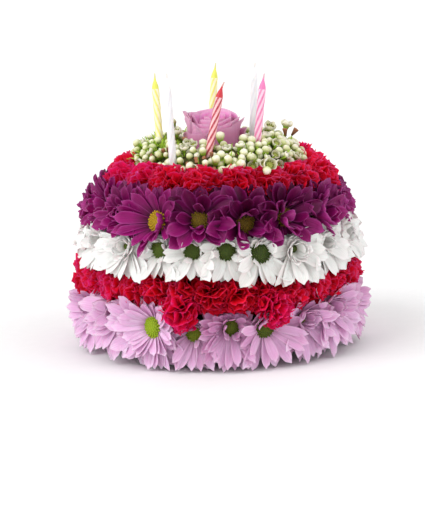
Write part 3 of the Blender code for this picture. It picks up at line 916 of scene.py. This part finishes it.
def funnel(gathered, foot, grow, size, shape, tone, finish):
    """A funnel on a short stalk. Its shape is pairs of height and radius, as shares of size."""
    profile = [(-0.0012, 0.0), (-0.0012, 0.0007)] + [(size * rise, size * reach) for rise, reach in shape]
    turned_solid(gathered, foot, axes_about(grow), profile, 8, tone, finish)


def waxflower_bud(gathered, foot, grow, size, tone):
    """A closed bud: a ball in a green funnel, split by the seams of its petals."""
    funnel(gathered, foot, grow, size, ((0.9, 0.74), (1.25, 0.80), (1.3, 0.0)), 0.6, SPRIG_GREEN)
    turn = np.linspace(-0.85, 0.5 * math.pi, 7)
    ball = [(size * (1.75 + 0.92 * math.sin(a)), size * math.cos(a) ** 0.9) for a in turn[:-1]]
    ball = [(ball[0][0], 0.0)] + ball + [(size * 2.66, size * 0.22), (size * 2.58, 0.0)]
    turned_solid(gathered, foot, axes_about(grow), ball, 10, tone, BUD, lobes=0.06, twist=60.0)


def waxflower_cup(gathered, foot, grow, size, tone, turn):
    """An open flower: five round waxy petals cupped about a green eye with a ring of stubby stamens."""
    side, other, axis = axes_about(grow)
    funnel(gathered, foot, grow, size, ((0.55, 0.45), (0.75, 0.52), (0.78, 0.0)), 0.6, SPRIG_GREEN)
    eye = [(size * 0.70, 0.0), (size * 0.70, size * 0.50), (size * 0.98, size * 0.46), (size * 0.82, size * 0.20)]
    turned_solid(gathered, foot, (side, other, axis), eye + [(size * 1.0, 0.0)], 10, 0.7, CUP_EYE)
    angle = turn + math.tau * np.arange(5)[:, None, None] / 5
    along, across = blade_places(5, 5)
    reached = along * (1.0 - 0.20 * across**2 * along)
    out = size * (0.40 + 0.60 * np.sin(reached * 1.45)) * (1.0 - 0.12 * along**3)
    lift = size * (0.66 + 0.92 * reached**1.6)
    width = size * 0.72 * np.interp(along, (0.0, 0.4, 0.8, 0.93, 1.0), (0.50, 0.90, 1.0, 0.86, 0.62))
    spoke, flank = turned_pair(angle, side, other)
    inward = size * 0.26 * across**2 - size * 0.05 * across
    middle = foot + spoke * (out - inward)[..., None] + axis * lift[..., None] + flank * (width * across)[..., None]
    thin_shells(gathered, middle, across, along, np.full((5, 1, 1), tone), size * 0.12, BUD)
    stub = [(0.0, 0.0), (0.0, size * 0.07), (size * 0.22, size * 0.09), (size * 0.28, 0.0)]
    for k in range(10):
        lean = math.tau * k / 10
        outward = math.cos(lean) * side + math.sin(lean) * other
        stamen = foot + axis * size * 0.95 + outward * size * 0.46
        turned_solid(gathered, stamen, axes_about(unit(axis + outward * 0.4)), stub, 4, 0.3, CUP_EYE)


def spent_flower(gathered, foot, grow, size):
    """A funnel whose petals have dropped, its rim browned."""
    funnel(gathered, foot, grow, size, ((1.2, 0.6), (1.5, 0.62), (1.3, 0.0)), 0.5, SPENT)


def needle_leaf(gathered, foot, grow, length, random):
    """A narrow, keeled leaf that curves up."""
    side, other, axis = axes_about(grow)
    along, across = blade_places(6, 3)
    flank, bow = turned_pair(random.uniform(0, math.tau), side, other)
    width = 0.0009 * np.sin(math.pi * (0.12 + 0.85 * along))
    middle = (
        foot
        + axis * (length * along)[..., None]
        + flank * (width * across)[..., None]
        + bow * (length * 0.22 * along**2 + 0.0003 * np.abs(across))[..., None]
    )
    thin_shells(gathered, middle, across, along, np.full((1, 1, 1), random.uniform(0.3, 0.9)), 0.0006, SPRIG_GREEN)


def over_one(spot, places):
    """Whether a point stands over one of the places, given by x, y and radius."""
    return any((spot[0] - x) ** 2 + (spot[1] - y) ** 2 < radius**2 for x, y, radius in places)


sprigs = Gathered()
random = np.random.default_rng(61)
taken = []
# Bare spots between the sprigs, where only leaves and spent flowers show, and the room left for the candles.
BARE_SPOTS = (
    (-0.0310, -0.0360, 0.0045), (-0.0070, -0.0555, 0.0042), (0.0270, -0.0560, 0.0035), (-0.0460, -0.0300, 0.0040),
)
CANDLE_SPOTS = (
    (-0.0390, 0.0, 0.0050), (-0.0292, -0.0495, 0.0050), (-0.0035, 0.033, 0.0050), (-0.0050, -0.0450, 0.0050),
    (0.0280, -0.0250, 0.0050), (0.0265, 0.025, 0.0050),
)
# A sprig is drawn as a number: a bud below the first of these, a cup below the second, and spent above it.
BUD_SHARE, CUP_SHARE = 0.62, 0.93
ATTEMPTS = 9000
# Between these azimuths, at the left, the sprigs are younger and sparser.
YOUNG_FROM, YOUNG_TO, LEFT_OUT = -110.0, -40.0, 0.75
for attempt in range(ATTEMPTS):
    reach, azimuth = random.uniform(0.0, 1.03) ** 0.8, random.uniform(-180.0, 180.0)
    young = YOUNG_FROM < azimuth < YOUNG_TO
    if young and random.uniform() < LEFT_OUT:
        continue
    spot, grow = mound_point(reach, azimuth, random.uniform(-0.0022, 0.0036))
    if over_one(spot, CANDLE_SPOTS):
        continue
    kind = random.uniform()
    if over_one(spot, BARE_SPOTS):
        kind = 0.9 + kind
    if young:
        kind = 0.75 * kind
    size = random.uniform(0.0022, 0.0034) if kind < BUD_SHARE else random.uniform(0.0032, 0.0044)
    apart = size * (1.80 if kind < BUD_SHARE else 1.84) if kind < CUP_SHARE else 0.0046
    if any(np.linalg.norm(spot - other) < (apart + wide) / 2 for other, wide in taken):
        continue
    taken.append((spot, apart))
    grow = unit(grow + random.normal(0.0, 0.28, 3))
    if kind < BUD_SHARE:
        foot = spot - grow * size * 2.2
        tone = random.uniform(0.0, 0.6) if young else random.uniform(0.3, 1.0)
        waxflower_bud(sprigs, foot, grow, size * (0.85 if young else 1.0), tone)
    elif kind < CUP_SHARE:
        foot = spot - grow * size * 1.1
        waxflower_cup(sprigs, foot, grow, size, random.uniform(0.5, 1.0), random.uniform(0, 1.2))
    else:
        foot = spot - grow * 0.003
        spent_flower(sprigs, foot, grow, random.uniform(0.0018, 0.0025))
    root = at(0.043 + 0.005 * math.sin(attempt), azimuth + 4.0 * math.sin(attempt * 1.7), 0.1225)
    stem_to(sprigs, foot - grow * 0.0010, root, 0.00055)
SCATTERED_LEAVES, LEFT_LEAVES = 290, 160
for k in range(SCATTERED_LEAVES + LEFT_LEAVES):
    at_left = k >= SCATTERED_LEAVES
    azimuth = random.uniform(-115.0, -35.0) if at_left else random.uniform(-180.0, 180.0)
    sunk = 0.0085 - 0.0020 * math.sin(math.radians(azimuth) * 2.0)
    spot, grow = mound_point(random.uniform(0.0, 1.0), azimuth, sunk)
    spot = spot + 0.0010 * at_left * grow
    grow = unit(grow + random.normal(0.0, 0.55, 3))
    needle_leaf(sprigs, spot, grow, random.uniform(0.007, 0.012), random)

# Sprigs that stand up out of the rest: kind, tip, direction and size.
STANDING_SPRIGS = (
    ("cup", (0.0500, 0.0080, 0.1520), (0.25, 0.0, 1.0), 0.0048),
    ("spent", (0.0560, 0.0020, 0.1475), (0.75, -0.1, 1.0), 0.0030),
    ("spent", (0.0480, 0.0000, 0.1480), (-0.1, -0.1, 1.0), 0.0028),
    ("cup", (-0.0275, -0.0080, 0.1500), (-0.2, -0.3, 1.0), 0.0046),
    ("bud", (-0.0300, 0.0100, 0.1560), (-0.2, 0.0, 1.0), 0.0026),
    ("bud", (0.0030, -0.0300, 0.1500), (0.0, -0.4, 1.0), 0.0032),
    ("bud", (-0.0090, -0.0330, 0.1455), (-0.2, -0.5, 1.0), 0.0030),
    ("bud", (0.0190, -0.0300, 0.1480), (0.1, -0.3, 1.0), 0.0031),
    ("bud", (0.0245, -0.0320, 0.1470), (0.1, -0.3, 1.0), 0.0030),
    ("spent", (-0.0210, -0.0240, 0.1460), (0.1, -0.2, 1.0), 0.0026),
    ("cup", (0.0385, 0.0100, 0.1500), (0.3, -0.5, 1.0), 0.0048),
    ("bud", (-0.0560, 0.0040, 0.1420), (-0.6, 0.0, 1.0), 0.0030),
    ("cup", (0.0355, -0.0640, 0.1320), (0.3, -1.0, 0.35), 0.0050),
    ("bud", (0.0335, -0.0690, 0.1275), (0.2, -1.0, -0.35), 0.0029),
)
SPRIG_HEIGHTS = {"cup": 1.3, "bud": 2.6, "spent": 1.4}
for kind, tip, grow, size in STANDING_SPRIGS:
    grow = unit(np.array(grow))
    foot = np.array(tip) - grow * size * SPRIG_HEIGHTS[kind]
    if kind == "cup":
        waxflower_cup(sprigs, foot, grow, size, 0.95, 0.4)
    elif kind == "bud":
        waxflower_bud(sprigs, foot, grow, size, 0.9)
    else:
        spent_flower(sprigs, foot, grow, size)
    root = np.array((tip[0] * 0.86, tip[1] * 0.82, 0.1240))
    stem_to(sprigs, foot - grow * 0.0008, root, 0.0006)

# The tangle is a ring with a ripple, closed round this section of radius and height, and lower at the left.
TANGLE_SECTION = (
    (0.0150, 0.1190), (0.0480, 0.1190), (0.0540, 0.1250), (0.0560, 0.1300), (0.0520, 0.1350), (0.0440, 0.1385),
    (0.0360, 0.1390), (0.0270, 0.1370), (0.0200, 0.1300),
)
tangle_radii, tangle_heights = np.array(TANGLE_SECTION).T
tangle_turn = np.linspace(0.0, math.tau, 96, endpoint=False)[:, None]
upper = tangle_heights > 0.13
ripple = random.uniform(-0.0012, 0.0012, (len(tangle_turn), len(TANGLE_SECTION))) * upper
turned_left = np.exp(-(((np.degrees(tangle_turn) - 290.0) / 42.0) ** 2))
reaches = (tangle_radii + ripple) * (1.0 - 0.07 * turned_left)
tall = tangle_heights + ripple - 0.0045 * turned_left * upper
tangle = np.stack((reaches * np.sin(tangle_turn), -reaches * np.cos(tangle_turn), tall), -1).reshape(-1, 3)
index = np.arange(len(tangle)).reshape(reaches.shape)
ahead, beside = np.roll(index, -1, axis=0), np.roll(index, -1, axis=1)
walls = np.stack((index, ahead, np.roll(ahead, -1, axis=1), beside), -1).reshape(-1, 4)
sprigs.add(tangle, np.tile((0.0, 0.5, 0.5), (len(tangle), 1)), np.zeros(len(tangle)), [walls], TANGLE)


def bud_finish():
    """Waxy cream petals, greener at the base and blushed here and there, with a soft shine."""
    bud = Finish("waxflower_bud", 0.35)
    bud.fixed(Subsurface_Weight=0.2, Subsurface_Scale=0.0015, Subsurface_Radius=(1.0, 0.9, 0.6))
    bud.fixed(Coat_Weight=0.15, Coat_Roughness=0.3, Specular_IOR_Level=0.4)
    _, _, along, tone = bud.petal_place()
    mottle = bud.mottle(420.0, 4.0)
    green, greenish, cream, pale = srgb(150, 170, 74), srgb(202, 208, 144), srgb(240, 238, 214), srgb(248, 242, 230)
    colour = bud.ramp(along, (0.0, green), (0.35, greenish), (0.75, cream), (1.0, pale))
    colour = bud.tinted(colour, srgb(204, 208, 144), mottle, (0.52, 0.0), (0.70, 0.6))
    colour = bud.tinted(colour, srgb(236, 204, 194), mottle, (0.30, 0.5), (0.42, 0.0))
    colour = bud.tinted(colour, srgb(186, 198, 112), tone, (0.0, 0.6), (0.6, 0.0))
    bud.bumped(mottle, 0.25, 0.0003)
    return bud.coloured(colour, bud.ramp(mottle, (0.3, 0.30), (0.7, 0.45)))


sprigs.piece(
    "waxflower_heads_and_stems",
    [
        bud_finish(),
        green_finish("waxflower_eye", srgb(72, 66, 24), srgb(176, 184, 92)),
        green_finish("waxflower_green", srgb(72, 108, 18), srgb(168, 204, 62), 0.45),
        green_finish("waxflower_spent", srgb(84, 56, 30), srgb(168, 112, 80)),
        green_finish("stem_tangle", srgb(40, 16, 12), srgb(86, 92, 40), 0.8),
    ],
    ["waxflower_sprigs"],
)


# Rose: one full-blown lavender rose stands in the middle on its green calyx. Broad outer petals form a cup and
# roll back to points at their rims; narrower whorls wrap a tight spiral bud.

rose_low, rose_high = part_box("rose")
ROSE_FOOT = np.array(((rose_low.x + rose_high.x) / 2 - 0.0022, (rose_low.y + rose_high.y) / 2, 0.1185))
# Azimuth and half span in degrees, radius of the rim, height of the rim at its left, middle and right, roll of
# the rim outwards, where along the rim it comes to a point and how long that is, and tone. Millimetres.
ROSE_PETALS = (
    (-92, 40, 16.1, 43.0, 43.6, 43.0, 2.2, 0.05, 2.2, 0.35),
    (-32, 52, 18.2, 31.0, 29.5, 31.5, 0.8, 0.0, 0.0, 0.45),
    (46, 50, 18.4, 31.0, 34.5, 39.5, 1.0, 0.84, 4.6, 0.50),
    (114, 46, 21.6, 33.5, 31.0, 27.0, 2.4, -0.5, 1.0, 0.0),
    (168, 50, 20.5, 33.0, 36.0, 37.0, 3.0, 0.0, 1.6, 0.30),
    (-145, 48, 17.0, 41.0, 42.0, 41.0, 2.0, 0.0, 0.6, 0.40),
    (-52, 34, 15.6, 42.5, 38.0, 31.5, 1.8, -0.85, 0.8, 0.95),
    (-8, 46, 15.4, 33.0, 33.5, 35.0, 1.0, 0.0, 0.0, 0.95),
    (30, 44, 16.8, 32.5, 36.0, 38.8, 1.4, 0.6, 0.6, 0.80),
    (96, 50, 17.0, 40.0, 39.0, 37.0, 1.6, 0.0, 1.0, 0.50),
    (168, 66, 16.8, 41.0, 43.8, 42.0, 2.2, 0.0, 0.6, 0.95),
    (-118, 50, 14.4, 42.0, 42.0, 42.0, 1.6, 0.0, 0.4, 0.75),
    (-24, 60, 12.4, 38.0, 35.5, 36.5, 1.0, 0.3, 0.4, 1.00),
    (62, 60, 12.4, 37.0, 39.5, 41.0, 1.4, 0.0, 0.4, 0.90),
    (158, 66, 12.2, 41.0, 42.8, 41.5, 1.6, 0.0, 0.4, 1.00),
    (-104, 62, 12.0, 41.0, 41.0, 39.5, 1.4, 0.0, 0.4, 0.90),
    (6, 76, 8.4, 38.5, 38.5, 39.5, 1.0, 0.0, 0.2, 1.00),
    (126, 90, 8.0, 40.0, 41.5, 40.5, 1.0, 0.0, 0.2, 0.90),
    (-90, 100, 4.6, 39.0, 39.5, 39.0, 0.5, 0.0, 0.0, 0.80),
)


def rose_petals(gathered):
    table = np.array(ROSE_PETALS).T[:, :, None, None]
    azimuth, span, radius, left, middle_height, right, roll, peak_at, peak, tone = table
    along, across = blade_places(17, 19)
    wave = np.random.default_rng(7).uniform(0, math.tau, azimuth.shape)
    rim = middle_height + (right - left) / 2 * across + ((left + right) / 2 - middle_height) * across**2
    rim = rim * (1.0 - 0.10 * across**8) + 0.35 * np.sin(6.0 * across + wave)
    point = peak * np.exp(-(((across - peak_at) / 0.34) ** 2)) * along**6
    cup = np.interp(along, (0.0, 0.12, 0.30, 0.6, 0.9, 1.0), (0.30, 0.74, 1.0, 1.03, 1.0, 1.0))
    rolled = roll * along**7 * (1.0 + 0.30 * np.sin(4.0 * across + wave))
    turn = np.radians(azimuth) + np.radians(span) * across * np.interp(along, (0.0, 0.35, 1.0), (0.75, 1.0, 0.96))
    crease = 0.35 * np.sin(9.0 * across + 2.0 * wave) * along**3
    outward = (radius * cup + rolled + point * 0.9 - 0.7 * across + crease) / 1000
    rise = (rim * along + point * 0.35 - 0.5 * roll * along**12) / 1000
    middle = np.stack((outward * np.sin(turn), -outward * np.cos(turn), rise), axis=-1) + ROSE_FOOT
    thin_shells(gathered, middle[:, :, ::-1], across[:, :, ::-1], along, tone, 0.0005, 0)


def rose_finish():
    """Lavender petals: dusky outside and at the base, pinker inside, finely veined, with a velvet sheen."""
    petal = petal_finish(
        "rose_petal", srgb(164, 82, 126), srgb(222, 140, 184), srgb(236, 172, 208), srgb(236, 140, 202),
        srgb(150, 62, 108), veins=0.12,
    )
    petal.node_tree.nodes["Principled BSDF"].inputs["Sheen Weight"].default_value = 0.35
    return petal


rose_parts = Gathered()
rose_petals(rose_parts)
calyx = [(-0.0006, 0.0), (-0.0006, 0.0020), (0.0020, 0.0050), (0.0060, 0.0062), (0.0090, 0.0050), (0.0092, 0.0)]
turned_solid(rose_parts, ROSE_FOOT, np.eye(3), calyx, 16, 0.5, 1)
rose_parts.piece("rose_bloom", [rose_finish(), stem_green], ["rose"])


# Candles: six cake candles of dyed paraffin wax on cotton wicks, pressed into sockets in the foam. Four are
# pale wax twisted with coloured stripes and dipped at the tip; two are plain white. Their bodies are fluted.

CANDLE_RADIUS = 0.0029
FOAM_TOP = 0.118
# Node, foot on the foam, lean to the right in degrees, depth in it, length of the body, turns of its twist for
# each metre, and wax.
CANDLES = (
    ("candle_yellow_left", (-0.0372, -0.0020), -3.2, 0.0080, 0.0740, -22.0, "yellow"),
    ("candle_white_left", (-0.0280, -0.0450), -3.0, 0.0090, 0.0780, 18.0, "white"),
    ("candle_yellow_back", (-0.0050, 0.0330), 4.6, 0.0060, 0.0760, 22.0, "yellow"),
    ("candle_red_front", (-0.0092, -0.0450), 12.0, 0.0105, 0.0748, 22.0, "red"),
    ("candle_pink_right", (0.0253, -0.0250), 6.4, 0.0085, 0.0750, 22.0, "pink"),
    ("candle_white_right", (0.0256, 0.0250), 2.2, 0.0080, 0.0780, 18.0, "white"),
)
# Each wax's pale colour, its stripe and its dipped tip.
WAXES = {
    "yellow": (srgb(252, 249, 214), srgb(240, 230, 122), srgb(226, 228, 98)),
    "white": (srgb(238, 238, 240), srgb(228, 229, 233), srgb(236, 236, 238)),
    "red": (srgb(253, 198, 202), srgb(174, 40, 58), srgb(200, 46, 60)),
    "pink": (srgb(251, 210, 228), srgb(230, 122, 172), srgb(230, 126, 182)),
}


def wax_finish(name, pale, stripe, tip):
    """Wax: stripes that follow the twist, a dipped tip, a cloudy body and small scuffs."""
    wax = Finish(name, 0.38)
    wax.fixed(Subsurface_Weight=0.35, Subsurface_Scale=0.002, Subsurface_Radius=(1.0, 0.8, 0.7))
    wax.fixed(Specular_IOR_Level=0.45, Coat_Weight=0.1, Coat_Roughness=0.35)
    _, flute, _, dipped = wax.petal_place()
    cloud = wax.mottle(500.0, 5.0)
    blend = wax.mixed(0.5, pale, stripe)
    colour = wax.tinted(pale, blend, flute, (0.25, 0.0), (0.45, 1.0))
    colour = wax.tinted(colour, stripe, flute, (0.60, 0.0), (0.80, 1.0))
    colour = wax.tinted(colour, pale, cloud, (0.45, 0.0), (0.75, 0.35))
    colour = wax.tinted(colour, tip, dipped, (0.25, 0.0), (0.45, 1.0))
    colour = wax.tinted(colour, srgb(206, 200, 186), dipped, (0.80, 0.0), (0.95, 0.6))
    wax.bumped(cloud, 0.2, 0.0002)
    return wax.coloured(colour, wax.ramp(cloud, (0.3, 0.32), (0.7, 0.5)))


# Rings of a candle from its foot up: the fluted body, then the dipped tip, by depth below its end and share of
# the radius, then the wick, by height above the end and radius.
BODY_RINGS = 56
TIP_RINGS = ((0.0060, 0.83), (0.0046, 0.77), (0.0028, 0.60), (0.0012, 0.40), (0.0, 0.26))
WICK_RINGS = ((0.0012, 0.00065), (0.0028, 0.00055), (0.0045, 0.00040))
FLUTES = 5


def twisted_candle(gathered, body, twist, leaning_wick):
    """Fluted body, dipped tip and wick as one closed form about +Z."""
    depths, shares = np.array(TIP_RINGS).T
    wick_heights, wick_radii = np.array(WICK_RINGS).T
    heights = np.concatenate([np.linspace(0.0, body - 0.0062, BODY_RINGS), body - depths, body + wick_heights])
    radii = np.concatenate([np.full(BODY_RINGS, CANDLE_RADIUS * 0.86), CANDLE_RADIUS * shares, wick_radii])
    ring = np.arange(len(heights))
    fluted = np.where(ring < BODY_RINGS, 0.055, 0.0)[:, None]
    tip, wick = BODY_RINGS, BODY_RINGS + len(TIP_RINGS)
    dipped = np.interp(ring, (0, tip - 1, tip, wick - 1, wick, len(ring)), (0.0, 0.0, 0.5, 0.5, 0.9, 1.0))
    angle = np.linspace(0.0, math.tau, 40, endpoint=False)[None, :]
    phase = np.cos(FLUTES * (angle - math.tau * twist * heights[:, None]))
    reach = radii[:, None] * (1.0 + fluted * phase)
    bow = leaning_wick * np.clip(heights - body + 0.004, 0.0, None)[:, None] ** 2 / 0.0085
    tall = np.broadcast_to(heights[:, None], reach.shape)
    points = np.stack((reach * np.cos(angle) + bow, reach * np.sin(angle), tall), -1).reshape(-1, 3)
    places = np.stack((0.5 + 0.5 * phase, tall / body, np.broadcast_to(dipped[:, None], phase.shape)), -1)
    index = np.arange(reach.size).reshape(reach.shape)
    foot, top = np.array([index[0, ::-1]]), np.array([index[-1]])
    gathered.add(points, places.reshape(-1, 3), np.zeros(reach.size), [walls_between(index), foot, top], 0)


wax_finishes = {name: wax_finish(name + "_wax", *tints) for name, tints in WAXES.items()}
for name, foot, lean, depth, body, twist, wax in CANDLES:
    candle = Gathered()
    twisted_candle(candle, body, twist, leaning_wick=0.16 if wax == "red" else 0.05)
    tilt = math.radians(lean)
    right, up = np.array((math.cos(tilt), 0.0, -math.sin(tilt))), np.array((math.sin(tilt), 0.0, math.cos(tilt)))
    socket = np.array((*foot, FOAM_TOP)) - up * depth
    x, y, z = candle.points[0].T[:, :, None]
    candle.points = [socket + x * right + y * np.array((0.0, 1.0, 0.0)) + z * up]
    candle.piece("wax_" + name, [wax_finishes[wax]], [name])


# Studio: a plain pale table in a white room, under soft daylight that comes from high up at the front left.


def daylight(name, toward, strength, softness):
    """Soft light from far off, that falls alike on all of the table."""
    light = bpy.data.lights.new(name, "SUN")
    light.energy, light.angle = strength, math.radians(softness)
    holder = bpy.data.objects.new(name, light)
    holder.rotation_euler = Vector(toward).to_track_quat("-Z", "Y").to_euler()
    bpy.context.scene.collection.objects.link(holder)


daylight("key_light", (0.74, 0.50, -0.60), 1.58, 50.0)
daylight("fill_light", (-0.80, 0.42, -0.48), 0.65, 60.0)

table_mesh = bpy.data.meshes.new("table")
TABLE_RADIUS = 14.0
turns = [math.tau * k / 64 for k in range(64)]
rim = [(TABLE_RADIUS * math.cos(turn), TABLE_RADIUS * math.sin(turn), 0.0) for turn in turns]
table_mesh.from_pydata(rim, [], [tuple(range(64))])
table_paint = Finish("pale_table", 0.9)
grain = table_paint.mottle(120.0, 2.0)
table_mesh.materials.append(table_paint.coloured(table_paint.ramp(grain, (0.0, 0.93), (1.0, 0.97))))
table = bpy.data.objects.new("table", table_mesh)
bpy.context.scene.collection.objects.link(table)

room = bpy.data.worlds.new("white_room")
room.use_nodes = True
room.node_tree.nodes["Background"].inputs["Color"].default_value = (1.0, 1.0, 1.0, 1.0)
room.node_tree.nodes["Background"].inputs["Strength"].default_value = 0.82
bpy.context.scene.world = room
bpy.context.scene.view_settings.view_transform = "Standard"

lens = bpy.data.cameras.new("camera")
lens.lens = 119.6
lens.sensor_width = 36.0
camera = bpy.data.objects.new("camera", lens)
aim = Vector((-0.0038, 0.0, 0.0585))
camera_rise, camera_roll, camera_distance = math.radians(10.5), math.radians(-1.2), 1.2
camera.location = aim + Vector((0.0, -math.cos(camera_rise), math.sin(camera_rise))) * camera_distance
look = (aim - camera.location).to_track_quat("-Z", "Y")
camera.rotation_euler = (look @ Quaternion((0.0, 0.0, 1.0), camera_roll)).to_euler()
bpy.context.scene.collection.objects.link(camera)
bpy.context.scene.camera = camera
